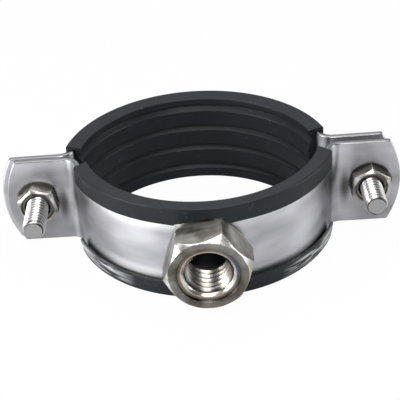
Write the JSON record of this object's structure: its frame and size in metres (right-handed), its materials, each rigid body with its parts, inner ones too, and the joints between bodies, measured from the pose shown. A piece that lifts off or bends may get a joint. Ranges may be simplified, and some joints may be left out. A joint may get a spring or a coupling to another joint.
{
  "type": "rubber lined pipe clamp",
  "caption": "Split steel pipe clamp in two bent halves with a rubber lining, two ear screws in weld nuts, and a hexagon threaded boss for a hanger rod.",
  "frame": {"origin": "on the pipe axis, at the middle of the clamp's width and on the plane where the two halves part", "axes": "+Z along the pipe, +X from ear to ear, -Y out of the threaded boss"},
  "size_m": [0.108, 0.0724, 0.0274],
  "materials": {
    "band_steel": "rolled stainless strip, satin",
    "nut_steel": "turned stainless, tinted by the weld's heat",
    "screw_steel": "bright rolled thread",
    "lining_rubber": "black extruded rubber, dull"
  },
  "bodies": {
    "front_half": {"front_band": "band_steel", "front_lining": "lining_rubber", "boss_nut": "nut_steel", "left_ear_nut": "nut_steel", "right_ear_nut": "nut_steel"},
    "rear_half": {"rear_band": "band_steel", "rear_lining": "lining_rubber"},
    "left_screw": {"left_screw": "screw_steel"},
    "right_screw": {"right_screw": "screw_steel"}
  },
  "joints": [
    {"name": "rear_slide", "type": "slide", "parent": "front_half", "child": "rear_half", "axis": [0, 1, 0], "range_m": [0, 0.0098]},
    {"name": "left_screw_turn", "type": "hinge", "parent": "rear_half", "child": "left_screw", "pos_m": [-0.045, 0, 0], "axis": [0, 1, 0], "range_deg": [0, 3530]},
    {"name": "right_screw_turn", "type": "hinge", "parent": "rear_half", "child": "right_screw", "pos_m": [0.045, 0, 0], "axis": [0, 1, 0], "range_deg": [0, 3530]}
  ],
  "couplings": [
    {"joint": "left_screw_turn", "follows": "rear_slide", "rad_per_m": 6283.2},
    {"joint": "right_screw_turn", "follows": "rear_slide", "rad_per_m": 6283.2}
  ]
}
